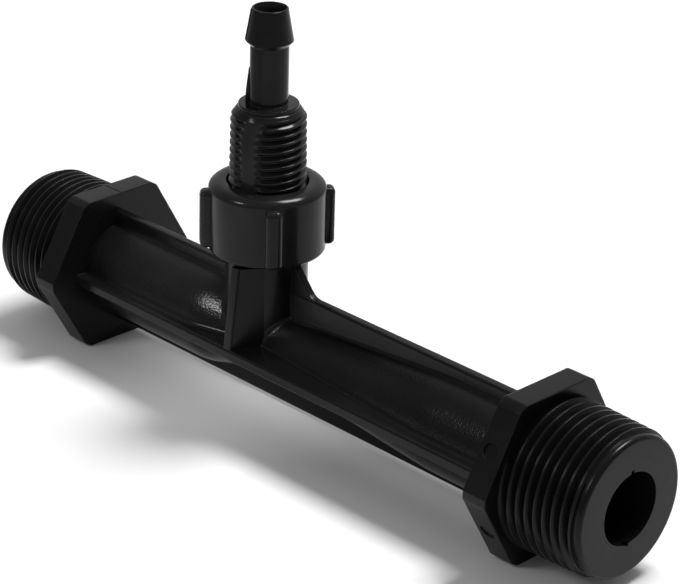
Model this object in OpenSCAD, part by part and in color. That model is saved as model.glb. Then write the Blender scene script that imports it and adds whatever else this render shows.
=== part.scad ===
// Venturi fertilizer injector: a ribbed moulded body with two pipe-threaded ends, and a suction branch
// with a union nut, a barbed nipple and a spring-loaded ball check valve.
// Millimetres. X runs with the flow and Z is up. The origin lies under the middle of the length,
// on the plane of the two lower hex flats that the injector rests on.

/* [Pipe ends] */
// Outside diameter of the tapered pipe threads, at the middle of their length
pipe_thread_d = 26.44; // [25.6:0.02:27.2]
// Loss of diameter along each threaded end, per length
pipe_taper = 0.0625; // [0:0.0125:0.075]
// Pitch of the pipe threads, drawn as closed ridges
pipe_pitch = 1.814; // [1.6:0.002:2.4]
// Depth of the pipe threads
pipe_thread_depth = 1.16; // [0.8:0.02:1.3]
// Length of each spigot, from its flange to its end face
spigot_l = 16.2; // [12:0.2:20]
// Diameter of the plain ring ahead of each thread
lead_ring_d = 24.9; // [21:0.1:25]
// Length of the plain ring ahead of each thread
lead_ring_l = 1.4; // [1.2:0.1:3]
// Rounding of the end ring's outer edge
lead_ring_edge = 0.8; // [0.2:0.1:1]
// Bore of both pipe ends
pipe_bore_d = 12.8; // [11:0.2:15]

/* [Hex flanges] */
// Width across the flats of the two wrench flanges
hex_af = 29.5; // [29.2:0.1:34]
// Thickness of each flange
hex_t = 5; // [3:0.2:8]
// Width of the small flat on each corner
hex_corner_flat = 1.6; // [0.4:0.2:3]

/* [Barrel] */
// Length from the branch axis to the inlet flange
inlet_l = 40; // [30:0.5:60]
// Length from the branch axis to the outlet flange
outlet_l = 64; // [45:0.5:90]
// Wall of the barrel
barrel_wall = 2.45; // [1.8:0.05:2.8]
// Wall of the barrel's neck, at the throat
neck_wall = 3.35; // [2.6:0.05:3.6]
// Length of the straight outlet tube ahead of its flange
outlet_straight_l = 18; // [6:0.5:24]
// Distance from the branch axis back to the start of the barrel's outer shoulder
shoulder_start = 10; // [8:0.5:14]
// Length of the barrel's outer shoulder
shoulder_l = 12; // [10:0.5:16]
// Diameter of the throat
throat_d = 4.4; // [3.6:0.1:5.6]
// Length of the throat
throat_l = 6; // [4:0.5:8]
// Length of the nozzle that narrows to the throat
nozzle_l = 12; // [8:0.5:16]

/* [Ribs and webs] */
// Reach of the top and bottom ribs from the barrel axis
rib_reach = 11.2; // [10:0.1:12.5]
// Thickness of the top and bottom ribs
rib_t = 2; // [1.4:0.1:3]
// Reach of the side ribs from the barrel axis
side_rib_reach = 11.2; // [10:0.1:12.5]
// Thickness of the side ribs
side_rib_t = 2.1; // [1.4:0.1:3]
// Rounding of the ribs' long edges
rib_edge = 0.5; // [0.2:0.1:0.65]
// Thickness of the front web at the foot of the branch
web_t = 1.5; // [1.2:0.1:3]
// Distance of the front web behind the branch axis, with the flow
web_shift = 1.8; // [0:0.1:2.4]
// Step of the front web's foot behind the side rib's outer edge
web_step = 0.1; // [0.05:0.05:0.6]
// Reach of the front web at its upper end
web_top_reach = 9.1; // [8.6:0.1:9.6]
// Distance of the front web's upper end below the union nut
web_drop = 1; // [0.6:0.1:3]
// Angle round the branch at which the front web's outlet side runs into the column
web_wedge_angle = 58; // [45:1:60]
// Thickness of the gussets between the branch and the top rib
gusset_t = 1.5; // [1.2:0.1:1.9]
// Reach of the gussets along the top rib, from the branch axis
gusset_reach = 12.2; // [10:0.1:16]

/* [Branch] */
// Outside diameter of the branch column
column_d = 14.8; // [13.6:0.1:15.4]
// Height of the branch's top face above the barrel axis
branch_h = 24.5; // [23:0.1:32]
// Outside diameter of the branch's threaded head
head_d = 16.8; // [16:0.1:17.6]
// Length of the branch's threaded head
head_l = 7; // [5:0.1:7.6]
// Chamfer at both ends of the threaded head
head_chamfer = 0.6; // [0.2:0.1:0.7]
// Diameter of the check valve's chamber
chamber_d = 8.6; // [8.2:0.1:9.4]
// Height of the chamber's floor above the barrel axis
chamber_floor = 12; // [10:0.1:12.6]
// Diameter of the suction passage from the chamber into the throat
suction_passage_d = 3.2; // [2:0.1:3.8]

/* [Union nut] */
// Outside diameter of the union nut
nut_d = 20.9; // [20:0.1:24]
// Height of the union nut
nut_h = 12.9; // [11:0.1:13.4]
// Thickness of the nut's top wall
nut_top_wall = 2.1; // [1.4:0.1:3]
// Rounding of the nut's upper rim
nut_edge = 1.3; // [0.4:0.1:1.4]
// Rounding of the nut's lower rim
nut_foot_edge = 0.7; // [0.2:0.1:1]
// Width and depth of the flare round the nut's hole
nut_flare = 1.2; // [0.4:0.1:1.3]
// Radial clearance between the nut and the threaded head
nut_thread_clearance = 0.2; // [0.1:0.02:0.3]
// Radial clearance between the nut's hole and the nipple's stem
nut_hole_clearance = 0.4; // [0.2:0.05:0.6]
// Number of grip lugs
lug_count = 4; // [3:1:6]
// Width of a grip lug
lug_w = 3; // [2:0.1:4]
// Reach of the lugs beyond the nut's wall
lug_reach = 1.5; // [1:0.1:3]
// Rounding of the lugs
lug_edge = 0.7; // [0.3:0.1:0.9]
// Distance of the lugs below the nut's upper rim
lug_drop = 1.6; // [0.8:0.1:3]
// Distance of the lugs above the nut's lower rim
lug_rise = 0.4; // [0.2:0.1:2]
// Turn of the tightened nut
lug_turn = 53; // [0:1:90]

/* [Suction nipple] */
// Outside diameter of the tapered suction thread, at the middle of its length
stem_thread_d = 13.5; // [13:0.02:14]
// Loss of diameter along the suction thread, per length
stem_taper = 0.0325; // [0:0.0025:0.07]
// Pitch of the suction thread, drawn as closed ridges
stem_pitch = 1.411; // [1.2:0.002:1.9]
// Depth of the suction thread
stem_thread_depth = 0.86; // [0.6:0.02:1]
// Height of the stem's thread above the nut
stem_h = 12.1; // [9:0.1:18]
// Diameter at the top of the cone above the thread
collar_d = 10.1; // [9:0.1:11]
// Height of the cone above the thread
collar_h = 2.3; // [1:0.1:4]
// Diameter of the hose tail between collar and barb
tail_d = 6.8; // [6:0.1:7.4]
// Length of the hose tail up to the barb
tail_l = 10.5; // [4:0.1:16]
// Diameter of the barb
barb_d = 8.42; // [7.8:0.02:9.6]
// Length of the barb's back cut
barb_back_l = 0.9; // [0.6:0.1:2]
// Length of the barb's tapered nose
barb_nose_l = 5.8; // [4:0.1:9]
// Diameter of the tip
tip_d = 6.4; // [5.6:0.1:6.8]
// Bore of the nipple
nipple_bore_d = 4; // [3.4:0.1:4.8]
// Wall left at the rim of the tip's funnel
tip_rim = 0.3; // [0.2:0.05:0.4]
// Depth of the tip's funnel
funnel_l = 2.1; // [1:0.1:3]
// Thickness of the nipple's clamping flange
nipple_flange_t = 2; // [1.4:0.1:3]
// Radial clearance between the flange, the seal and the nut's thread
union_clearance = 0.4; // [0.2:0.05:0.6]

/* [Check valve] */
// Thickness of the seal that the ball seats on
washer_t = 1.5; // [1:0.1:2.5]
// Hole of the seal
washer_hole_d = 5.2; // [5:0.1:5.8]
// Diameter of the check ball
ball_d = 7; // [6.8:0.05:7.4]
// Gap between the closed ball and its seat
seat_gap = 0.25; // [0.1:0.05:0.4]
// Diameter of the spring's wire
spring_wire_d = 0.5; // [0.3:0.05:0.6]
// Outside diameter of the spring
spring_d = 5; // [4.6:0.1:5.6]
// Turns of the spring
spring_turns = 5; // [3:1:6]
// Gap at each end of the spring
spring_gap = 0.1; // [0.05:0.05:0.3]

/* [Hidden] */
$fn = 96;
overlap = 0.5;
cut = 1;
moulded_black = [0.09, 0.09, 0.095];
seal_black = [0.05, 0.05, 0.05];
ball_white = [0.86, 0.85, 0.8];
spring_steel = [0.72, 0.73, 0.75];

// Places along the flow, from the branch axis
inlet_end = -inlet_l - hex_t - spigot_l;
outlet_end = outlet_l + hex_t + spigot_l;
branch_x = -(inlet_end + outlet_end) / 2;
neck_x = shoulder_l - shoulder_start;
diffuser_end = outlet_l - outlet_straight_l;
axis_z = hex_af / 2;

// Radii of the pipe ends and the barrel
pipe_bore_r = pipe_bore_d / 2;
throat_r = throat_d / 2;
tube_r = pipe_bore_r + barrel_wall;
neck_r = throat_r + neck_wall;
thread_l = spigot_l - lead_ring_l;
hex_corner_reach = hex_af / sqrt(3) - hex_corner_flat / 2 * tan(30);

// Heights of the union above the barrel axis
washer_z = branch_h;
nipple_z = washer_z + washer_t;
nut_wall_z = nipple_z + nipple_flange_t;
nut_top_z = nut_wall_z + nut_top_wall;
nut_z = nut_top_z - nut_h;
gusset_gap = 0.3;
gusset_z = nut_z - gusset_gap;
web_z = nut_z - web_drop;
web_foot_reach = side_rib_reach - web_step;

// Radii of the union
nut_r = nut_d / 2;
nut_bore_r = head_d / 2 + nut_thread_clearance;
union_r = nut_bore_r - union_clearance;
stem_r = stem_thread_d / 2;
nipple_bore_r = nipple_bore_d / 2;
stem_foot_r = stem_r + stem_taper * stem_h / 4;
stem_top_r = stem_r - stem_taper * stem_h / 4;
nut_hole_r = stem_foot_r + nut_hole_clearance;

// Heights of the nipple above the barrel axis
stem_top_z = nut_top_z + stem_h;
collar_top_z = stem_top_z + collar_h;
barb_foot_z = collar_top_z + tail_l;
barb_z = barb_foot_z + barb_back_l;
tip_z = barb_z + barb_nose_l;

// Heights of the check valve above the barrel axis
ball_r = ball_d / 2;
seat_r = washer_hole_d / 2;
ball_z = washer_z - sqrt(pow(ball_r + seat_gap, 2) - pow(seat_r, 2));
spring_wire_r = spring_wire_d / 2;
spring_r = spring_d / 2 - spring_wire_r;
spring_foot_z = chamber_floor + spring_gap + spring_wire_r;
spring_top_z = ball_z - sqrt(pow(ball_r + spring_gap + spring_wire_r, 2) - pow(spring_r, 2));
spring_steps = 18;
spring_sides = 6;

// Moves geometry drawn about the crossing of the barrel and branch axes to its place in the part
module at_crossing() {
    translate([branch_x, 0, axis_z]) children();
}

// Lays geometry drawn along Z on the barrel axis, starting at a place along the flow
module along_flow(start) {
    translate([start, 0, 0]) rotate([0, 90, 0]) children();
}

// Lays geometry drawn up from an end face against the flow or with it
module pipe_end(face, direction) {
    translate([face, 0, 0]) rotate([0, 90 * direction, 0]) children();
}

// Outline of one turn of a thread, as parts of the depth and of the pitch: foot, two edges of the crest, foot
TOOTH = [[0, 0.05], [1, 0.42], [1, 0.58], [0, 0.95]];

// Half section of closed thread ridges on a taper, from a start upwards, as many as a length holds
function ridge_line(start, length, pitch, depth, mid_r, taper) = [
    for (turn = [0 : floor(length / pitch) - 1], corner = TOOTH)
        let (z = (turn + corner[1]) * pitch)
        [mid_r - taper / 2 * (z - length / 2) - depth * (1 - corner[0]), start + z],
];

// A bar with rounded corners, centred
module rounded_bar(length, width, corner) {
    square([length, width - 2 * corner], center = true);
    square([length - 2 * corner, width], center = true);
    for (x = [-1, 1], y = [-1, 1]) {
        translate([x * (length / 2 - corner), y * (width / 2 - corner)]) circle(corner);
    }
}

// Hexagon with flats above and below and a small flat on each corner
module hex_outline() {
    intersection() {
        rotate(30) circle(d = hex_af / cos(30), $fn = 6);
        circle(r = hex_corner_reach / cos(30), $fn = 6);
    }
}

// Threaded end, seen from its flange outwards: the ridges, then the plain ring with its rounded rim
module spigot() {
    ridges = ridge_line(0, thread_l, pipe_pitch, pipe_thread_depth, pipe_thread_d / 2, pipe_taper);
    root_r = pipe_thread_d / 2 - pipe_thread_depth;
    rotate_extrude() {
        polygon(concat(
            [[0, -overlap], [root_r, -overlap]],
            ridges,
            [[ridges[len(ridges) - 1][0], thread_l], [0, thread_l]]
        ));
        translate([0, thread_l - overlap]) {
            square([lead_ring_d / 2, lead_ring_l + overlap - lead_ring_edge]);
            square([lead_ring_d / 2 - lead_ring_edge, lead_ring_l + overlap]);
        }
        translate([lead_ring_d / 2 - lead_ring_edge, spigot_l - lead_ring_edge]) circle(lead_ring_edge);
    }
}

// Straight inlet tube, shoulder at the branch, cone of the diffuser and straight outlet tube
module barrel_tube() {
    rotate_extrude() polygon([
        [0, -inlet_l - overlap],
        [tube_r, -inlet_l - overlap],
        [tube_r, -shoulder_start],
        [neck_r, neck_x],
        [tube_r, diffuser_end],
        [tube_r, outlet_l + overlap],
        [0, outlet_l + overlap],
    ]);
}

// The four long ribs, from flange to flange
module long_ribs() {
    translate([0, 0, -inlet_l - overlap]) linear_extrude(inlet_l + outlet_l + 2 * overlap) {
        rounded_bar(2 * rib_reach, rib_t, rib_edge);
        rounded_bar(side_rib_t, 2 * side_rib_reach, rib_edge);
    }
}

// Branch column with its threaded head
module branch_column() {
    head_z = branch_h - head_l;
    cylinder(h = head_z + overlap, d = column_d);
    rotate_extrude() polygon([
        [0, head_z],
        [head_d / 2 - head_chamfer, head_z],
        [head_d / 2, head_z + head_chamfer],
        [head_d / 2, branch_h - head_chamfer],
        [head_d / 2 - head_chamfer, branch_h],
        [0, branch_h],
    ]);
}

// Front web that widens from the column down to the side rib, with a wedge on its outlet side
module front_web() {
    column_r = column_d / 2;
    inlet_side = web_shift - web_t / 2;
    outlet_side = web_shift + web_t / 2;
    intersection() {
        linear_extrude(web_z) polygon([
            [inlet_side, 0],
            [inlet_side, -web_foot_reach],
            [outlet_side, -web_foot_reach],
            [outlet_side, -web_top_reach + overlap],
            [column_r * cos(web_wedge_angle), -column_r * sin(web_wedge_angle)],
        ]);
        rotate([90, 0, 90]) linear_extrude(2 * column_d, center = true) polygon([
            [0, 0],
            [-web_foot_reach, 0],
            [-web_top_reach, web_z],
            [0, web_z],
        ]);
    }
}

// Gussets that slope from the column down to the top rib
module gussets() {
    rotate([90, 0, 0]) linear_extrude(gusset_t, center = true) polygon([
        [-gusset_reach, rib_reach - rib_edge],
        [-gusset_reach, rib_reach],
        [-column_d / 2, gusset_z],
        [column_d / 2, gusset_z],
        [gusset_reach, rib_reach],
        [gusset_reach, rib_reach - rib_edge],
    ]);
}

// Flow passage: inlet bore, nozzle, throat, diffuser and outlet bore
module flow_passage() {
    nozzle_start = -throat_l / 2 - nozzle_l;
    rotate_extrude() polygon([
        [0, inlet_end - cut],
        [pipe_bore_r, inlet_end - cut],
        [pipe_bore_r, nozzle_start],
        [throat_r, -throat_l / 2],
        [throat_r, throat_l / 2],
        [pipe_bore_r, diffuser_end],
        [pipe_bore_r, outlet_end + cut],
        [0, outlet_end + cut],
    ]);
}

// Suction passage from the throat, and the valve's chamber above it
module suction_passage() {
    cylinder(h = chamber_floor + cut, d = suction_passage_d);
    translate([0, 0, chamber_floor]) cylinder(h = branch_h - chamber_floor + cut, d = chamber_d);
}

module venturi_body() {
    color(moulded_black) at_crossing() difference() {
        union() {
            along_flow(0) barrel_tube();
            along_flow(0) long_ribs();
            along_flow(-inlet_l - hex_t) linear_extrude(hex_t) hex_outline();
            along_flow(outlet_l) linear_extrude(hex_t) hex_outline();
            pipe_end(-inlet_l - hex_t, -1) spigot();
            pipe_end(outlet_l + hex_t, 1) spigot();
            branch_column();
            front_web();
            gussets();
        }
        along_flow(0) flow_passage();
        suction_passage();
    }
}

// Section of the nut: a cup turned upside down, with rounded rims and a flared hole
module nut_section() {
    difference() {
        union() {
            translate([0, nut_foot_edge]) square([nut_r, nut_h - nut_edge - nut_foot_edge]);
            square([nut_r - nut_foot_edge, nut_h / 2]);
            translate([0, nut_h / 2]) square([nut_r - nut_edge, nut_h / 2]);
            translate([nut_r - nut_foot_edge, nut_foot_edge]) circle(nut_foot_edge);
            translate([nut_r - nut_edge, nut_h - nut_edge]) circle(nut_edge);
        }
        translate([-cut, -cut]) square([nut_bore_r + cut, nut_h - nut_top_wall + cut]);
        polygon([
            [-cut, 0],
            [nut_hole_r, 0],
            [nut_hole_r, nut_h - nut_flare],
            [nut_hole_r + nut_flare, nut_h],
            [nut_hole_r + nut_flare, nut_h + cut],
            [-cut, nut_h + cut],
        ]);
    }
}

// Section of the band that the lugs stand in, rounded at both outer corners
module lug_section() {
    lug_h = nut_h - lug_drop - lug_rise;
    outer_r = nut_r + lug_reach;
    translate([nut_r - overlap, lug_rise]) square([lug_reach + overlap - lug_edge, lug_h]);
    translate([nut_r - overlap, lug_rise + lug_edge]) square([lug_reach + overlap, lug_h - 2 * lug_edge]);
    for (z = [lug_rise + lug_edge, lug_rise + lug_h - lug_edge]) {
        translate([outer_r - lug_edge, z]) circle(lug_edge);
    }
}

module union_nut() {
    color(moulded_black) at_crossing() translate([0, 0, nut_z]) {
        rotate_extrude() nut_section();
        intersection() {
            rotate_extrude() lug_section();
            linear_extrude(nut_h) for (i = [0 : lug_count - 1]) {
                rotate(lug_turn + i * 360 / lug_count) translate([nut_r + lug_reach - nut_r / 2, 0]) {
                    rounded_bar(nut_r, lug_w, lug_edge);
                }
            }
        }
    }
}

// Nipple: clamping flange, threaded stem with a cone above it, hose tail and barb with a funnel in its tip
module suction_nipple() {
    ridges = ridge_line(nut_top_z, stem_h, stem_pitch, stem_thread_depth, stem_r, stem_taper);
    color(moulded_black) at_crossing() difference() {
        rotate_extrude() polygon(concat(
            [
                [0, nipple_z],
                [union_r, nipple_z],
                [union_r, nut_wall_z],
                [stem_foot_r, nut_wall_z],
                [stem_foot_r, nut_top_z - nut_flare],
                [ridges[0][0], nut_top_z],
            ],
            ridges,
            [
                [stem_top_r, stem_top_z],
                [collar_d / 2, collar_top_z],
                [tail_d / 2, collar_top_z],
                [tail_d / 2, barb_foot_z],
                [barb_d / 2, barb_z],
                [tip_d / 2, tip_z],
                [0, tip_z],
            ]
        ));
        rotate_extrude() polygon([
            [0, nipple_z - cut],
            [nipple_bore_r, nipple_z - cut],
            [nipple_bore_r, tip_z - funnel_l],
            [tip_d / 2 - tip_rim, tip_z],
            [tip_d / 2 - tip_rim, tip_z + cut],
            [0, tip_z + cut],
        ]);
    }
}

module seat_washer() {
    color(seal_black) at_crossing() translate([0, 0, washer_z]) difference() {
        cylinder(h = washer_t, r = union_r);
        translate([0, 0, -cut]) cylinder(h = washer_t + 2 * cut, d = washer_hole_d);
    }
}

module check_ball() {
    color(ball_white) at_crossing() translate([0, 0, ball_z]) sphere(ball_r);
}

// A point on the spring's wire, at a step along the coil and an angle round the wire
function spring_point(step, angle) =
    let (turn = step * 360 / spring_steps)
    let (rise = (spring_top_z - spring_foot_z) * step / (spring_steps * spring_turns))
    let (radius = spring_r + spring_wire_r * cos(angle))
    [radius * cos(turn), radius * sin(turn), spring_foot_z + rise + spring_wire_r * sin(angle)];

module check_spring() {
    last = spring_steps * spring_turns;
    points = [
        for (step = [0 : last], side = [0 : spring_sides - 1])
            spring_point(step, side * 360 / spring_sides)
    ];
    foot_cap = [for (side = [0 : spring_sides - 1]) side];
    top_cap = [for (side = [spring_sides - 1 : -1 : 0]) last * spring_sides + side];
    walls = [
        for (step = [0 : last - 1], side = [0 : spring_sides - 1])
            let (near = step * spring_sides, next = (side + 1) % spring_sides)
            [near + side, near + spring_sides + side, near + spring_sides + next, near + next]
    ];
    color(spring_steel) at_crossing() polyhedron(points, concat([foot_cap], walls, [top_cap]), convexity = 10);
}

venturi_body();
union_nut();
suction_nipple();
seat_washer();
check_ball();
check_spring();
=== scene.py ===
"""Venturi fertilizer injector: the moulded black plastic pieces and their finishes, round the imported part."""

import math

import bmesh
import bpy
import numpy as np
from mathutils import Matrix, Vector


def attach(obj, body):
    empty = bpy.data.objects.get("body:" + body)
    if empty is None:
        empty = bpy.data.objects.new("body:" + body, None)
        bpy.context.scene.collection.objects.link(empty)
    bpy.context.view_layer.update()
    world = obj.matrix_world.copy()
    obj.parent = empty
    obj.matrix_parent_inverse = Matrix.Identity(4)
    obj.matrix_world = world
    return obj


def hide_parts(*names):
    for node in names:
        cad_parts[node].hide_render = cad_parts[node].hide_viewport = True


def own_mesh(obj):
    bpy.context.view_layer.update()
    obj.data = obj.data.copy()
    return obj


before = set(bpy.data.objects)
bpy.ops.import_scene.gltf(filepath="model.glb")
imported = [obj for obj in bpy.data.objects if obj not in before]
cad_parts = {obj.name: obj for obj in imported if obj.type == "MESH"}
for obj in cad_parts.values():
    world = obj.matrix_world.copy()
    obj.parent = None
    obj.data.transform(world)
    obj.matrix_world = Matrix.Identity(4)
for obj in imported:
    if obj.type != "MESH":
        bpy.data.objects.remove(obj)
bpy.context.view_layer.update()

# Pieces are modelled in millimetres about the crossing of the barrel's and the branch's axes.
# settle() puts them in the part's frame.
CROSSING = Vector((-0.012, 0, 0.01475))
MM = 0.001
MERGE = 0.0005
SMOOTH_UP_TO = 34

# Flanges and pipe ends
INLET_FACE, OUTLET_FACE = -40, 64
HEX_FLATS, HEX_THICK, HEX_CORNER, HEX_RIM = 29.5, 5, 1.6, 0.28
SPIGOT, RING, RING_R, RING_EDGE = 16.2, 1.4, 12.45, 0.8
PIPE_PITCH, PIPE_CREST_R, PIPE_DEPTH, PIPE_SLOPE = 25.4 / 14, 13.22, 1.16, 0.03125
PIPE_TURNS, RUN_OUT_TURN, RUN_OUT_SPAN = 11, 8.3, 0.25

# Barrel and passages
TUBE_R, NECK_R, BEND_EASE = 8.85, 5.55, 1.6
SHOULDER_START, SHOULDER_END, CONE_END = -10, 2, 46
RIB_REACH, RIB_HALF, SIDE_RIB_HALF, RIB_EDGE, RIB_FILLET = 11.2, 1.0, 1.05, 0.5, 0.9
PIPE_BORE_R, THROAT_R, NOZZLE_START, THROAT_HALF = 6.4, 2.2, -15, 3
SUCTION_R, CHAMBER_R, CHAMBER_FLOOR, CHAMBER_TOP = 1.6, 4.3, 12, 26

# Branch and union nut
COLUMN_R, HEAD_R, HEAD_FOOT, BRANCH_TOP, HEAD_EDGE = 7.4, 8.4, 17.5, 24.5, 0.6
NUT_FOOT, NUT_TOP, NUT_R, NUT_BORE_R, NUT_HOLE_R = 17.2, 30.1, 10.45, 8.6, 7.25
NUT_SHOULDER, NUT_FOOT_EDGE, DOME_WIDE, DOME_HIGH = 28, 0.7, 2.3, 1.5
LUG_COUNT, FIRST_LUG, LUG_WIDE, LUG_TALL, LUG_MIDDLE, LUG_EDGE = 4, 53, 3, 10.9, 23.05, 1.0

# Suction nipple
STEM_TOP, CONE_TOP = 42.2, 44.5
STEM_PITCH, STEM_CREST_R, STEM_DEPTH, STEM_SLOPE, STEM_MIDDLE = 25.4 / 18, 6.75, 0.86, 0.01625, 36.5
STEM_TURNS, STEM_STEPS, STEM_FOOT = 13, 100, 28.2
BAND_R, BAND_HALF, BAND_BLEND, BAND_ANGLES = 6.36, 12, 15, (-77, 103)
NIPPLE_FOOT, NIPPLE_FLANGE_TOP, NIPPLE_BORE_R = 26, 28, 2.0

# Check spring
COIL_R, COIL_WIRE_R, COIL_FOOT, COIL_TOP, COIL_TURNS, COIL_PRESSED = 2.25, 0.25, 12.35, 18.674, 5, 0.62


# Modelling

def deselect_all():
    if bpy.context.mode != "OBJECT":
        bpy.ops.object.mode_set(mode="OBJECT")
    bpy.ops.object.select_all(action="DESELECT")


def edit(piece):
    deselect_all()
    piece.select_set(True)
    bpy.context.view_layer.objects.active = piece
    bpy.ops.object.mode_set(mode="EDIT")
    bpy.ops.mesh.select_mode(type="VERT")
    bpy.ops.mesh.select_all(action="SELECT")


def leave_edit():
    bpy.ops.object.mode_set(mode="OBJECT")


def added(name):
    piece = bpy.context.object
    piece.name = name
    return piece


def pick_edges(piece, test):
    """Selects the edges whose ends pass a test, in edit mode."""
    bpy.ops.mesh.select_mode(type="EDGE")
    bpy.ops.mesh.select_all(action="DESELECT")
    mesh = bmesh.from_edit_mesh(piece.data)
    for edge in mesh.edges:
        edge.select_set(bool(test(edge.verts[0].co, edge.verts[1].co)))
    bmesh.update_edit_mesh(piece.data)


def close_up(piece):
    """Merges doubles and turns all faces outwards."""
    edit(piece)
    bpy.ops.mesh.remove_doubles(threshold=MERGE)
    bpy.ops.mesh.normals_make_consistent(inside=False)
    leave_edit()
    return piece


def drawn_line(name, points):
    """A line of edges, drawn by extruding one vertex from point to point."""
    deselect_all()
    bpy.ops.mesh.primitive_plane_add(size=1)
    line = added(name)
    edit(line)
    bpy.ops.mesh.merge(type="CENTER")
    bpy.ops.transform.translate(value=points[0])
    for here, there in zip(points, points[1:]):
        step = Vector(there) - Vector(here)
        bpy.ops.mesh.extrude_region_move(TRANSFORM_OT_translate={"value": step})
    leave_edit()
    return line


def drawn_profile(name, profile, axis):
    """A profile of (radius, place along the axis), drawn as a line beside the X or Z axis."""
    return drawn_line(name, [(a, r, 0) if axis == "X" else (r, 0, a) for r, a in profile])


def turned(name, profile, axis="Z", steps=96):
    """A solid turned from a profile of (radius, place along the axis)."""
    line = drawn_profile(name, profile, axis)
    edit(line)
    about = (1, 0, 0) if axis == "X" else (0, 0, 1)
    bpy.ops.mesh.spin(steps=steps, angle=math.tau, center=(0, 0, 0), axis=about)
    return close_up(line)


def plate(name, outline, thickness):
    """A flat plate: an outline filled and extruded by a vector."""
    board = drawn_line(name, outline)
    edit(board)
    bpy.ops.mesh.edge_face_add()
    bpy.ops.mesh.extrude_region_move(TRANSFORM_OT_translate={"value": thickness})
    return close_up(board)


def soften(piece, width, segments, test=lambda a, b: True, measure="OFFSET"):
    """Bevels the edges that pass a test."""
    edit(piece)
    pick_edges(piece, test)
    bpy.ops.mesh.bevel(offset=width, offset_type=measure, segments=segments, profile=0.5,
                       affect="EDGES", clamp_overlap=True)
    leave_edit()
    return piece


def cut_off(piece, place, outwards):
    """Cuts away what lies beyond a plane and closes the cut."""
    edit(piece)
    bpy.ops.mesh.bisect(plane_co=place, plane_no=outwards, use_fill=True, clear_outer=True)
    leave_edit()
    return piece


def combine(piece, tool, operation="UNION"):
    """Joins a solid to a piece, or cuts it out of it."""
    deselect_all()
    bpy.context.view_layer.objects.active = piece
    step = piece.modifiers.new("combine", "BOOLEAN")
    step.operation, step.solver, step.object = operation, "EXACT", tool
    bpy.ops.object.modifier_apply(modifier=step.name)
    bpy.data.objects.remove(tool)
    return piece


def coords(piece):
    flat = np.empty(len(piece.data.vertices) * 3)
    piece.data.vertices.foreach_get("co", flat)
    return flat.reshape(-1, 3)


def place_vertices(piece, points):
    piece.data.vertices.foreach_set("co", np.ascontiguousarray(points, dtype=np.float32).ravel())
    piece.data.update()
    return piece


def arc(centre, radius, first, last, steps):
    """Points of an arc, angles in degrees."""
    return [(centre[0] + radius * math.cos(math.radians(t)), centre[1] + radius * math.sin(math.radians(t)))
            for t in np.linspace(first, last, steps + 1)]


def helix_screw(name, pitch, root_r, depth, turns, start, axis="X", steps=96):
    """A right-hand thread with a flattened sharp crest, before its ends are cut."""
    crest_r = root_r + depth
    tooth = [(root_r, 0), (root_r, 0.05), (crest_r, 0.42), (crest_r, 0.58), (root_r, 0.95), (root_r, 1)]
    line = drawn_profile(name, [(r, start + a * pitch) for r, a in tooth], axis)
    step = line.modifiers.new("thread", "SCREW")
    step.axis, step.angle, step.screw_offset, step.iterations = axis, math.tau, pitch, turns
    step.steps = step.render_steps = steps
    bpy.ops.object.modifier_apply(modifier=step.name)
    return close_up(line)


def settle(piece, finish, node):
    """Puts a finished piece in the part's frame, on its body and in place of its CAD node."""
    deselect_all()
    piece.select_set(True)
    bpy.context.view_layer.objects.active = piece
    bpy.ops.object.shade_smooth_by_angle(angle=math.radians(SMOOTH_UP_TO))
    even = piece.modifiers.new("even_normals", "WEIGHTED_NORMAL")
    even.keep_sharp = True
    bpy.ops.object.modifier_apply(modifier=even.name)
    piece.scale = (MM, MM, MM)
    piece.location = CROSSING
    bpy.ops.object.transform_apply(location=True, rotation=True, scale=True)
    piece.data.materials.clear()
    piece.data.materials.append(finish)
    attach(piece, "injector")
    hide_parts(node)
    return piece


# The body

def barrel_radius(x):
    """Outside radius of the barrel: inlet tube, shoulder, cone and outlet tube, eased at each bend."""
    bends = (-60, SHOULDER_START, SHOULDER_END, CONE_END, 90)
    radii = (TUBE_R, TUBE_R, NECK_R, TUBE_R, TUBE_R)
    return float(np.mean(np.interp(x + np.linspace(-BEND_EASE, BEND_EASE, 9), bends, radii)))


def rib_outline(tube_r, half):
    """Half of a rib's outline from its foot's fillet to its rounded tip, as (across, outwards)."""
    foot = math.sqrt((tube_r + RIB_FILLET) ** 2 - (half + RIB_FILLET) ** 2)
    on_tube = math.degrees(math.atan2(foot, half + RIB_FILLET)) - 180
    fillet = arc((half + RIB_FILLET, foot), RIB_FILLET, on_tube, -180, 5)
    tip = arc((half - RIB_EDGE, RIB_REACH - RIB_EDGE), RIB_EDGE, 0, 90, 4)
    return fillet + tip


def barrel_section(tube_r):
    """Outline across the barrel: the tube and its four ribs, as (y, z)."""
    halves = (SIDE_RIB_HALF, RIB_HALF)
    outline = []
    for turn in range(4):
        this_rib = [(out, across) for across, out in rib_outline(tube_r, halves[turn % 2])[::-1]]
        next_rib = rib_outline(tube_r, halves[(turn + 1) % 2])
        begin = math.atan2(this_rib[-1][1], this_rib[-1][0])
        end = math.pi / 2 - math.atan2(*next_rib[0])
        tube = [(tube_r * math.cos(t), tube_r * math.sin(t)) for t in np.linspace(begin, end, 20)[1:-1]]
        c, s = math.cos(turn * math.pi / 2), math.sin(turn * math.pi / 2)
        outline += [(c * y - s * z, s * y + c * z) for y, z in this_rib + tube + next_rib]
    return outline


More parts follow.
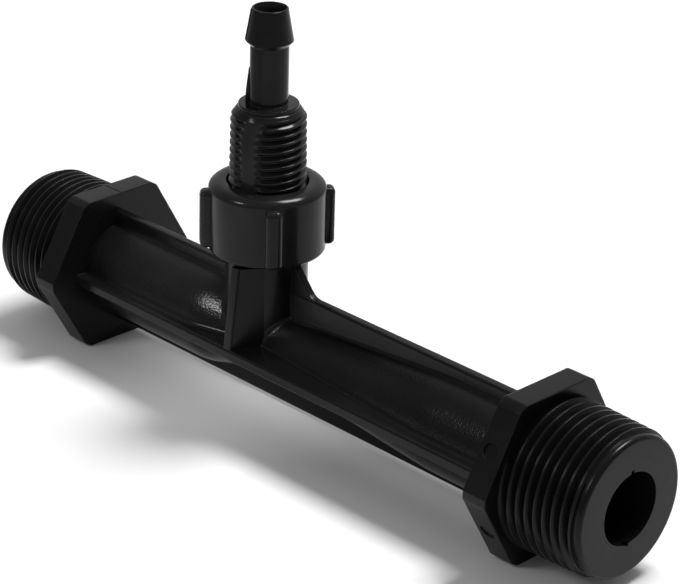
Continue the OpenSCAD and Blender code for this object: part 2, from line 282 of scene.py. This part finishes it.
def wrapped(name, rows):
    """A closed skin over rows of points that run round it: a grid, wrapped and capped at both ends."""
    rows = np.array([row + row[:1] for row in rows])
    high, wide = rows.shape[:2]
    deselect_all()
    bpy.ops.mesh.primitive_grid_add(x_subdivisions=wide - 1, y_subdivisions=high - 1, size=2)
    skin = added(name)
    flat = coords(skin)
    column = np.rint((flat[:, 0] + 1) / 2 * (wide - 1)).astype(int)
    row = np.rint((flat[:, 1] + 1) / 2 * (high - 1)).astype(int)
    place_vertices(skin, rows[row, column])
    edit(skin)
    bpy.ops.mesh.remove_doubles(threshold=MERGE)
    bpy.ops.mesh.select_all(action="DESELECT")
    bpy.ops.mesh.select_mode(type="EDGE")
    bpy.ops.mesh.select_non_manifold()
    bpy.ops.mesh.edge_face_add()
    return close_up(skin)


def ribbed_barrel():
    """The barrel with its ribs, one row for each section along the flow, closer together at the bends."""
    places = {-40.5, -26, 25.5, 35, 64.5}
    for bend in (SHOULDER_START, SHOULDER_END, CONE_END):
        places.update(np.linspace(bend - 3, bend + 3, 7))
    rows = [[(x, y, z) for y, z in barrel_section(barrel_radius(x))] for x in sorted(places)]
    return wrapped("barrel", rows)


def hex_flange(name, face):
    """A wrench flange with flats above and below, a small flat on each corner and soft rims."""
    deselect_all()
    bpy.ops.mesh.primitive_cylinder_add(vertices=6, radius=HEX_FLATS / math.sqrt(3), depth=HEX_THICK)
    flange = added(name)
    edit(flange)
    bpy.ops.transform.rotate(value=math.radians(90), orient_axis="Y", center_override=(0, 0, 0))
    bpy.ops.transform.translate(value=(face + HEX_THICK / 2, 0, 0))
    leave_edit()
    soften(flange, HEX_CORNER, 1, lambda a, b: abs(a.x - b.x) > 1, "WIDTH")
    return soften(flange, HEX_RIM, 2)


def pipe_spigot(name, face, direction):
    """A threaded pipe end with its plain lead ring, drawn outwards from its flange."""
    length = SPIGOT - RING
    root_r = PIPE_CREST_R - PIPE_DEPTH
    screw = helix_screw(name, PIPE_PITCH, root_r, PIPE_DEPTH, PIPE_TURNS, -2 * PIPE_PITCH)
    points = coords(screw)
    x, radius = points[:, 0], np.hypot(points[:, 1], points[:, 2])
    turn = np.arctan2(points[:, 2], points[:, 1]) / math.tau
    crest = np.rint((x / PIPE_PITCH - turn) - 0.5) + 0.5 + turn
    fade = np.clip((RUN_OUT_TURN - crest) / RUN_OUT_SPAN, 0, 1)
    radius_now = root_r + (radius - root_r) * fade - PIPE_SLOPE * (x - length / 2)
    points[:, 1] *= radius_now / radius
    points[:, 2] *= radius_now / radius
    place_vertices(screw, points)
    cut_off(screw, (length, 0, 0), (1, 0, 0))
    cut_off(screw, (-0.5, 0, 0), (-1, 0, 0))
    close_up(screw)
    lead_in = [(0, length - 0.9), (RING_R - 0.9, length - 0.9),
               (RING_R - 0.1, length - 0.2), (RING_R, length + 0.2)]
    rim = arc((RING_R - RING_EDGE, SPIGOT - RING_EDGE), RING_EDGE, 0, 90, 5)
    combine(screw, turned("lead_ring", lead_in + rim + [(0, SPIGOT)], "X"))
    edit(screw)
    if direction < 0:
        bpy.ops.transform.rotate(value=math.pi, orient_axis="Z", center_override=(0, 0, 0))
    bpy.ops.transform.translate(value=(face, 0, 0))
    leave_edit()
    return screw


def branch_column():
    """The branch's round column with its head, which the nut hides."""
    return turned("branch_column", [
        (0, 0), (COLUMN_R, 0), (COLUMN_R, HEAD_FOOT), (HEAD_R - HEAD_EDGE, HEAD_FOOT),
        (HEAD_R, HEAD_FOOT + HEAD_EDGE), (HEAD_R, BRANCH_TOP - HEAD_EDGE), (HEAD_R - HEAD_EDGE, BRANCH_TOP),
        (0, BRANCH_TOP)])


def foot_fillet(first, last, size=0.9):
    """The fillet between the column's foot and the barrel, between two angles round the column."""
    sunk_in_column, sunk_in_barrel = 0.02, 0.03
    rows = []
    for turn in np.radians(np.linspace(first, last, 25)):
        out = Vector((math.cos(turn), math.sin(turn), 0))
        x, y = COLUMN_R * out.x, COLUMN_R * out.y
        radius = barrel_radius(x)
        corner = Vector((x, y, math.sqrt(max(radius ** 2 - y ** 2, 0.01))))
        rise = (barrel_radius(x + 0.5) - barrel_radius(x - 0.5)) * radius
        upwards = Vector((-rise, y, corner.z)).normalized()
        up_column = (upwards - upwards.dot(out) * out).normalized()
        along_barrel = (out - out.dot(upwards) * upwards).normalized()
        high = corner + up_column * size - out * sunk_in_column
        low = corner + along_barrel * size - upwards * sunk_in_barrel
        curve = [high * (1 - t) ** 2 + corner * 2 * t * (1 - t) + low * t ** 2 for t in np.linspace(0, 1, 7)]
        rows.append([tuple(p) for p in curve] + [tuple(corner - (out + upwards) * 0.5)])
    return wrapped("foot_fillet", rows)


def front_web():
    """The web in front of the column: it narrows from the side rib up to the nut.

    A wedge fills its outlet side.
    """
    near, far, foot_reach, top_reach, edge, high = 0.6, 2.55, 11.1, 9.1, 0.3, 16.2
    wedge = [(far, -10.7), (6, -4.2), (5.2, -4)]
    outline = [(near, -5)] + arc((near + edge, edge - foot_reach), edge, 180, 270, 3)
    outline += arc((far - edge, edge - foot_reach), edge, 270, 360, 3) + wedge
    web = plate("front_web", [(x, y, 0) for x, y in outline], (0, 0, high))
    edit(web)
    bpy.ops.mesh.select_all(action="DESELECT")
    mesh = bmesh.from_edit_mesh(web.data)
    for vertex in mesh.verts:
        vertex.select_set(vertex.co.z > high - 0.1 and vertex.co.y < 0.5 - foot_reach)
    bmesh.update_edit_mesh(web.data)
    bpy.ops.transform.translate(value=(0, foot_reach - top_reach, 0))
    leave_edit()
    return soften(web, 0.2, 2, lambda a, b: min(a.z, b.z) > high - 0.1)


def gussets():
    """The two sloping braces from the column down to the top rib, eased into it at their feet."""
    thick = 1.5
    slope = [(7.4, 16.9), (11.15, 12.45), (11.75, 11.85), (12.5, 11.4), (13.4, 11.2), (13.4, 10.6)]
    outline = [(-x, z) for x, z in slope[::-1]] + slope
    brace = plate("gussets", [(x, -thick / 2, z) for x, z in outline], (0, thick, 0))
    return soften(brace, 0.22, 2)


def flow_passage():
    """Inlet bore, nozzle, throat, diffuser and outlet bore."""
    past_inlet, past_outlet = -63, 87
    return turned("flow_passage", [
        (0, past_inlet), (PIPE_BORE_R, past_inlet), (PIPE_BORE_R, NOZZLE_START), (THROAT_R, -THROAT_HALF),
        (THROAT_R, THROAT_HALF), (PIPE_BORE_R, CONE_END), (PIPE_BORE_R, past_outlet), (0, past_outlet)], "X")


def suction_passage():
    """The narrow passage up from the throat, and the valve chamber above it."""
    return turned("suction_passage", [
        (0, 0), (SUCTION_R, 0), (SUCTION_R, CHAMBER_FLOOR),
        (CHAMBER_R, CHAMBER_FLOOR), (CHAMBER_R, CHAMBER_TOP), (0, CHAMBER_TOP)], steps=48)


def ejector_mark(place, tilt, reach, depth):
    """The round mark of an ejector pin, sunk into a flat that is tilted about the flow."""
    mark = turned("ejector_mark", [(0, -depth), (reach - 0.1, -depth), (reach, 0.3), (0, 0.3)], steps=48)
    turn = np.array(Matrix.Rotation(math.radians(tilt), 3, "X"))
    return place_vertices(mark, coords(mark) @ turn.T + np.array(place))


def nick(low, high):
    """A small box between two corners, for nicks and notches along the parting plane."""
    (x0, y0, z0), (x1, y1, z1) = low, high
    return plate("nick", [(x0, y0, z0), (x1, y0, z0), (x1, y1, z0), (x0, y1, z0)], (0, 0, z1 - z0))


def venturi_moulding():
    inlet_shoulder, outlet_shoulder = INLET_FACE - HEX_THICK, OUTLET_FACE + HEX_THICK
    body = ribbed_barrel()
    joined = [
        hex_flange("inlet_flange", inlet_shoulder), hex_flange("outlet_flange", OUTLET_FACE),
        pipe_spigot("inlet_spigot", inlet_shoulder, -1), pipe_spigot("outlet_spigot", outlet_shoulder, 1),
        branch_column(),
        foot_fillet(-50, -6), foot_fillet(6, 62), foot_fillet(116, 174), foot_fillet(186, 244),
        front_web(), gussets()]
    for part in joined:
        combine(body, part)
    flat = HEX_FLATS / 2
    slope_y, slope_z = flat * 0.866, flat * 0.5
    hollows = [
        flow_passage(), suction_passage(),
        ejector_mark((66.3, -slope_y, slope_z), 60, 1.5, 0.4),
        ejector_mark((66.5, -slope_y, -slope_z), 120, 1.5, 0.25),
        nick((84.5, -0.45, 6), (86, 0.35, 7)),
        plate("bore_nick", [(84.2, -2.5, -5.8), (84.2, 0.2, -6.95), (84.2, 0.2, -5.5)], (2, 0, 0)),
        nick((-45.2, -0.12, flat - 0.12), (-39.8, 0.12, flat + 0.5)),
        nick((-46.6, -0.3, 11.9), (-44.9, 0.3, 14.2))]
    for hollow in hollows:
        combine(body, hollow, "DIFFERENCE")
    body.name = "venturi_moulding"
    return close_up(body)


# The union nut

def grip_lug(turn):
    """A rounded grip lug at an angle round the nut."""
    deselect_all()
    bpy.ops.mesh.primitive_cube_add(size=1)
    lug = added("grip_lug")
    edit(lug)
    bpy.ops.transform.resize(value=(LUG_WIDE, LUG_WIDE, LUG_TALL), center_override=(0, 0, 0))
    bpy.ops.transform.translate(value=(NUT_R, 0, LUG_MIDDLE))
    leave_edit()
    soften(lug, LUG_EDGE, 5)
    edit(lug)
    bpy.ops.transform.rotate(value=math.radians(-turn), orient_axis="Z", center_override=(0, 0, 0))
    leave_edit()
    return lug


def union_nut():
    foot = [(NUT_BORE_R, NUT_FOOT + 0.3), (NUT_BORE_R + 0.3, NUT_FOOT)]
    foot += arc((NUT_R - NUT_FOOT_EDGE, NUT_FOOT + NUT_FOOT_EDGE), NUT_FOOT_EDGE, -90, 0, 5)
    dome = [(NUT_R - DOME_WIDE + DOME_WIDE * r, NUT_TOP - DOME_HIGH + DOME_HIGH * a)
            for r, a in arc((0, 0), 1, 0, 90, 10)]
    hole = [(NUT_HOLE_R + 0.3, NUT_TOP), (NUT_HOLE_R + 0.08, NUT_TOP - 0.08), (NUT_HOLE_R, NUT_TOP - 0.3)]
    inside = [(NUT_HOLE_R, NUT_SHOULDER), (NUT_BORE_R, NUT_SHOULDER), (NUT_BORE_R, NUT_FOOT + 0.3)]
    nut = turned("union_nut_moulding", foot + dome + hole + inside, steps=128)
    for i in range(LUG_COUNT):
        lug = grip_lug(FIRST_LUG + 360 / LUG_COUNT * i)
        core_r = NUT_R - 0.8
        combine(lug, turned("lug_clearance", [(0, 16), (core_r, 16), (core_r, 31), (0, 31)]), "DIFFERENCE")
        combine(nut, lug)
    return close_up(nut)


# The suction nipple

def suction_thread():
    """The stem's thread, with the smooth bands left by the mould's two halves."""
    screw = helix_screw("suction_thread", STEM_PITCH, STEM_CREST_R - STEM_DEPTH, STEM_DEPTH, STEM_TURNS,
                        27 - STEM_PITCH, "Z", STEM_STEPS)
    points = coords(screw)
    z, radius = points[:, 2], np.hypot(points[:, 0], points[:, 1])
    angle = np.degrees(np.arctan2(points[:, 1], points[:, 0]))
    radius_now = radius - STEM_SLOPE * (z - STEM_MIDDLE)
    lean = np.clip((z - 39.5) / 3, 0, 1) * 10
    apart = np.min([np.abs(angle - band - lean) for band in BAND_ANGLES], axis=0)
    thread = np.clip((apart - BAND_HALF) / BAND_BLEND, 0, 1)
    radius_now = BAND_R + (radius_now - BAND_R) * thread * thread * (3 - 2 * thread)
    points[:, 0] *= radius_now / radius
    points[:, 1] *= radius_now / radius
    place_vertices(screw, points)
    cut_off(screw, (0, 0, STEM_TOP + 0.9), (0, 0, 1))
    cut_off(screw, (0, 0, STEM_FOOT), (0, 0, -1))
    return close_up(screw)


def stem_cap():
    """The cone that bounds the stem's upper end, so that the thread runs out in it."""
    return turned("stem_cap", [(0, 20), (8.4, 20), (8.4, 39.94), (5.05, CONE_TOP), (0, CONE_TOP)])


def nipple_shank():
    """The nipple's clamping flange, the stem's core, the disc above the thread, the tail and the barb."""
    flange = [(0, NIPPLE_FOOT), (8.2, NIPPLE_FOOT), (8.2, NIPPLE_FLANGE_TOP), (6.3, NIPPLE_FLANGE_TOP)]
    core = [(6.3, 28.8), (5.7, 29.4), (5.7, STEM_TOP + 0.6), (6.05, STEM_TOP + 0.92)]
    shoulder = [(5.8, CONE_TOP - 1.05), (5.62, CONE_TOP - 0.84),
                (5.3, CONE_TOP - 0.74), (5.26, CONE_TOP - 0.66)]
    disc = [(5.34, CONE_TOP - 0.54), (5.34, CONE_TOP - 0.16), (5.26, CONE_TOP - 0.04), (5.12, CONE_TOP)]
    tail = [(3.65, CONE_TOP), (3.47, CONE_TOP + 0.07), (3.4, CONE_TOP + 0.25), (3.4, 55.0)]
    barb = [(4.16, 55.82), (4.21, 55.92), (4.16, 56.08)] + arc((3.0, 61.5), 0.2, 14, 90, 3) + [(0, 61.7)]
    return turned("nipple_shank", flange + core + shoulder + disc + tail + barb, steps=128)


def flash(name, outline, turn, thickness=0.3):
    """A thin fin of flash drawn as (radius, height), turned to its place round the nipple."""
    fin = plate(name, [(r, -thickness / 2, z) for r, z in outline], (0, thickness, 0))
    spin = np.array(Matrix.Rotation(math.radians(turn), 3, "Z"))
    return place_vertices(fin, coords(fin) @ spin.T)


def suction_nipple():
    nipple = suction_thread()
    combine(nipple, stem_cap(), "INTERSECT")
    combine(nipple, nipple_shank())
    tail_fin = [(3.2, 44.3), (4.1, 44.3), (4.05, 46), (3.85, 48.2), (3.55, 50.6), (3.2, 51.6)]
    combine(nipple, flash("tail_flash", tail_fin, -133))
    nose_fin = [(2.95, 56), (4.3, 56), (4.28, 56.2), (3.34, 61.55), (2.95, 61.55)]
    combine(nipple, flash("nose_flash", nose_fin, -126))
    bore = [(0, 25), (NIPPLE_BORE_R, 25), (NIPPLE_BORE_R, 59.6), (2.9, 61.7), (2.9, 62), (0, 62)]
    combine(nipple, turned("nipple_bore", bore, steps=64), "DIFFERENCE")
    nipple.name = "suction_nipple_moulding"
    return close_up(nipple)


# The check valve

def check_coil():
    """The light coil spring under the ball, its end turns closed."""
    steps_a_turn, closed_turn, closed_lift = 36, 0.75, 0.07
    rows = []
    for turn in np.linspace(0, COIL_TURNS, COIL_TURNS * steps_a_turn + 1):
        lift = np.interp(turn, (0, closed_turn, COIL_TURNS - closed_turn, COIL_TURNS),
                         (0, closed_lift, 1 - closed_lift, 1))
        z = COIL_FOOT + (COIL_TOP - COIL_FOOT) * lift
        c, s = math.cos(turn * math.tau), math.sin(turn * math.tau)
        wire = arc((0, 0), COIL_WIRE_R, 0, 330, 11)
        rows.append([((COIL_R + r) * c, (COIL_R + r) * s, z + h) for r, h in wire])
    return wrapped("check_coil", rows)


# Finishes

class Value:
    """A shader socket that does arithmetic."""

    def __init__(self, nodes, socket):
        self.nodes, self.socket = nodes, socket

    def _math(self, operation, *values):
        return self.nodes.node("ShaderNodeMath", {"operation": operation}, *values)

    def __add__(self, other):
        return self._math("ADD", self, other)

    def __radd__(self, other):
        return self._math("ADD", other, self)

    def __sub__(self, other):
        return self._math("SUBTRACT", self, other)

    def __rsub__(self, other):
        return self._math("SUBTRACT", other, self)

    def __mul__(self, other):
        return self._math("MULTIPLY", self, other)

    def __rmul__(self, other):
        return self._math("MULTIPLY", other, self)

    def above(self, low, high):
        """0 below low, 1 above high, smooth between."""
        smooth = {"interpolation_type": "SMOOTHSTEP"}
        return self.nodes.node("ShaderNodeMapRange", smooth, self, low, high, 0.0, 1.0)


class Nodes:
    """A node tree under construction."""

    def __init__(self, tree):
        self.tree = tree

    def node(self, kind, settings, *values, output=0, **named):
        """Adds a node with its settings, then fills its sockets by order or by name."""
        made = self.tree.nodes.new(kind)
        for key, value in settings.items():
            setattr(made, key, value)
        for key, value in [*enumerate(values), *named.items()]:
            self.fill(made.inputs[key if isinstance(key, int) else key.replace("_", " ")], value)
        return Value(self, made.outputs[output])

    def fill(self, socket, value):
        if isinstance(value, Value):
            self.tree.links.new(value.socket, socket)
        elif value is not None:
            socket.default_value = value

    def vector(self, operation, *values, output=0):
        return self.node("ShaderNodeVectorMath", {"operation": operation}, *values, output=output)

    def dot(self, first, second):
        return self.vector("DOT_PRODUCT", first, second, output="Value")

    def blend(self, share, first, second):
        """Mixes two colours, which are the Mix node's seventh and eighth sockets."""
        return self.node("ShaderNodeMix", {"data_type": "RGBA"}, share, *[None] * 5, first, second, output=2)


class Finish(Nodes):
    """A material under construction."""

    def __init__(self, name):
        self.material = bpy.data.materials.new(name)
        self.material.use_nodes = True
        super().__init__(self.material.node_tree)
        self.shader = self.tree.nodes["Principled BSDF"]
        self.places = self.node("ShaderNodeTexCoord", {}, output="Object")

    def surface(self, **sockets):
        for key, value in sockets.items():
            self.fill(self.shader.inputs[key.replace("_", " ")], value)
        return self.material

    def noise(self, scale, detail=2.0, roughness=0.5):
        return self.node("ShaderNodeTexNoise", {}, Vector=self.places, Scale=scale, Detail=detail,
                         Roughness=roughness)


def grey(level):
    return level, level, level, 1


def moulded_black(name, tone, gloss, spark, edge, barrel_grain=0.0):
    """Black moulded plastic: fine spark texture, cloudy gloss, edges painted a little lighter, partly as rubbed
    wear and partly as a painted highlight.

    The barrel's own skin has a coarser grain, the rest of the piece has none.
    """
    f = Finish(name)
    from_axis = f.vector("MULTIPLY_ADD", f.places, Vector((0, 1, 1)), Vector((0, 0, -CROSSING.z)))
    reach = f.vector("LENGTH", from_axis, output="Value")
    fine = f.noise(4200, 2.0, 0.55)
    cloud = f.noise(140, 3.0)
    smear = f.noise(45, 4.0, 0.6)
    eased = f.node("ShaderNodeBevel", {"samples": 6}, Radius=edge)
    true = f.node("ShaderNodeNewGeometry", {}, output="Normal")
    # Edges, convex and concave alike, are painted lighter: partly rubbed wear, partly a painted highlight along
    # them.
    wear_and_highlight = (1 - f.dot(eased, true)).above(0.02, 0.25) * cloud.above(0.35, 0.65)
    dark = (tone * 0.75, tone * 0.75, tone * 0.8, 1)
    light = (tone * 1.25, tone * 1.25, tone * 1.27, 1)
    wear_and_highlight_grey = grey(tone * 3.2)
    colour = f.blend(wear_and_highlight * 0.6, f.blend(smear.above(0.3, 0.7), dark, light), wear_and_highlight_grey)
    roughness = gloss + (cloud - 0.5) * 0.12 + (smear - 0.5) * 0.1
    on_barrel = f.dot(f.vector("NORMALIZE", from_axis), true).above(0.9, 0.95)
    cells = f.node("ShaderNodeTexVoronoi", {"feature": "SMOOTH_F1"}, Vector=f.places, Scale=3000,
                   Smoothness=0.6)
    grain = cells * barrel_grain * on_barrel * (1 - reach.above(0.0088, 0.0094))
    height = (fine * 0.7 + cloud * 0.3) * spark + grain
    bump = f.node("ShaderNodeBump", {}, 1.0, 0.00003, Height=height, Normal=eased)
    return f.surface(Base_Color=colour, Roughness=roughness, Normal=bump, Specular_IOR_Level=0.15)


def ball_acetal():
    f = Finish("ball_acetal")
    cloud = f.noise(400, 3.0)
    colour = f.blend(cloud, (0.76, 0.74, 0.67, 1), (0.84, 0.82, 0.77, 1))
    bump = f.node("ShaderNodeBump", {}, 0.1, 0.00002, Height=f.noise(3000))
    return f.surface(Base_Color=colour, Roughness=0.22 + cloud * 0.1, Normal=bump)


def spring_wire():
    f = Finish("spring_wire")
    drawn = f.noise(6000, 3.0)
    colour = f.blend(drawn, (0.5, 0.5, 0.52, 1), (0.68, 0.68, 0.7, 1))
    return f.surface(Base_Color=colour, Metallic=1.0, Roughness=0.22 + drawn * 0.16)


def seal_rubber():
    f = Finish("seal_rubber")
    dust = f.noise(900, 4.0)
    colour = f.blend(dust.above(0.45, 0.75), grey(0.012), (0.03, 0.029, 0.028, 1))
    bump = f.node("ShaderNodeBump", {}, 0.15, 0.00003, Height=f.noise(4000))
    return f.surface(Base_Color=colour, Roughness=0.62 + dust * 0.2, Normal=bump)


# Stage

def pale_floor():
    """The pale floor, which keeps the shadow. Beyond the picture its colour is painted darker, as painted shade
    where the light falls off, for the reflections.
    """
    deselect_all()
    bpy.ops.mesh.primitive_plane_add(size=6)
    floor = added("floor")
    f = Finish("floor_pale_painted_shade")
    diagonal = 0.707
    pale = f.blend(f.noise(3.0), grey(0.79), grey(0.81))
    # Painted shade: these masks darken the floor's colour beyond the picture, standing in for light that falls
    # off there.
    front_right_shade = f.dot(f.places, Vector((diagonal, -diagonal, 0))).above(0.06, 0.12)
    back_right_shade = f.dot(f.places, Vector((diagonal, diagonal, 0))).above(0.08, 0.14)
    front_left_shade = f.dot(f.places, Vector((-diagonal, -diagonal, 0))).above(0.088, 0.15)
    right = f.node("ShaderNodeMath", {"operation": "MAXIMUM"}, front_right_shade, back_right_shade)
    colour = f.blend(front_left_shade, f.blend(right, pale, grey(0.55)), grey(0.3))
    floor.data.materials.append(f.surface(Base_Color=colour, Roughness=0.9, Specular_IOR_Level=0.0))


def studio_world():
    """Soft grey studio round the object, paler behind it."""
    world = bpy.data.worlds.new("studio")
    bpy.context.scene.world = world
    world.use_nodes = True
    n = Nodes(world.node_tree)
    ways = n.node("ShaderNodeTexCoord", {}, output="Generated")
    behind = n.dot(ways, Vector((-0.5, 0.8, 0.35)).normalized())
    strength = n.node("ShaderNodeMapRange", {}, behind, 0.2, 0.9, 0.27, 0.62)
    background = n.tree.nodes["Background"]
    n.fill(background.inputs["Strength"], strength)
    n.fill(background.inputs["Color"], grey(1))


def aimed(name, lamp, place, aim):
    """Stands a lamp at a place and turns it to a point."""
    stand = bpy.data.objects.new(name, lamp)
    bpy.context.scene.collection.objects.link(stand)
    stand.location = place
    stand.rotation_euler = (Vector(aim) - Vector(place)).to_track_quat("-Z", "Y").to_euler()


def softbox(name, place, aim, size, watts):
    lamp = bpy.data.lights.new(name, "AREA")
    lamp.energy, lamp.size = watts, size
    aimed(name, lamp, place, aim)


def spot(name, place, aim, cone, radius, watts):
    """A narrow spot, its cone in degrees."""
    lamp = bpy.data.lights.new(name, "SPOT")
    lamp.energy, lamp.shadow_soft_size = watts, radius
    lamp.spot_size, lamp.spot_blend = math.radians(cone), 0.6
    aimed(name, lamp, place, aim)


def photo_camera():
    """The camera, fitted to the photograph."""
    right, up = Vector((0.6995, 0.7142, 0.0250)), Vector((-0.3178, 0.2795, 0.9061))
    back = Vector((0.6401, -0.6417, 0.4225))
    target, distance = Vector((0.00662, 0, 0.02949)), 0.45588
    lens = bpy.data.cameras.new("photo_camera")
    lens.lens, lens.sensor_width, lens.sensor_fit = 139.5, 36, "HORIZONTAL"
    lens.clip_start, lens.clip_end = 0.01, 20
    camera = bpy.data.objects.new("photo_camera", lens)
    bpy.context.scene.collection.objects.link(camera)
    camera.rotation_mode = "QUATERNION"
    camera.rotation_quaternion = Matrix((right, up, back)).transposed().to_quaternion()
    camera.location = target + back * distance
    bpy.context.scene.camera = camera


bpy.context.scene.view_settings.view_transform = "Standard"

body_finish = moulded_black("body_polypropylene", 0.005, 0.25, 0.35, 0.00012, 1.6)
nut_finish = moulded_black("nut_polypropylene", 0.0105, 0.17, 0.15, 0.00012)
nipple_finish = moulded_black("nipple_polypropylene", 0.0115, 0.15, 0.2, 0.00007)
settle(venturi_moulding(), body_finish, "venturi_body")
settle(union_nut(), nut_finish, "union_nut")
settle(suction_nipple(), nipple_finish, "suction_nipple")
coil = settle(check_coil(), spring_wire(), "check_spring")
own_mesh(coil)
for node, finish in (("check_ball", ball_acetal()), ("seat_washer", seal_rubber())):
    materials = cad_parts[node].data.materials
    materials.clear()
    materials.append(finish)

pale_floor()
studio_world()
softbox("overhead_softbox", (0.1, 0.4, 1.0), (0, 0, 0.03), 0.36, 12.8)
softbox("key_light", (-0.12, -0.37, 0.34), (-0.01, 0, 0.02), 0.12, 0.4)
spot("tube_spot", (-0.115, -0.37, 0.345), (-0.021, -0.006, 0.019), 4.2, 0.02, 10.0)
photo_camera()
deselect_all()
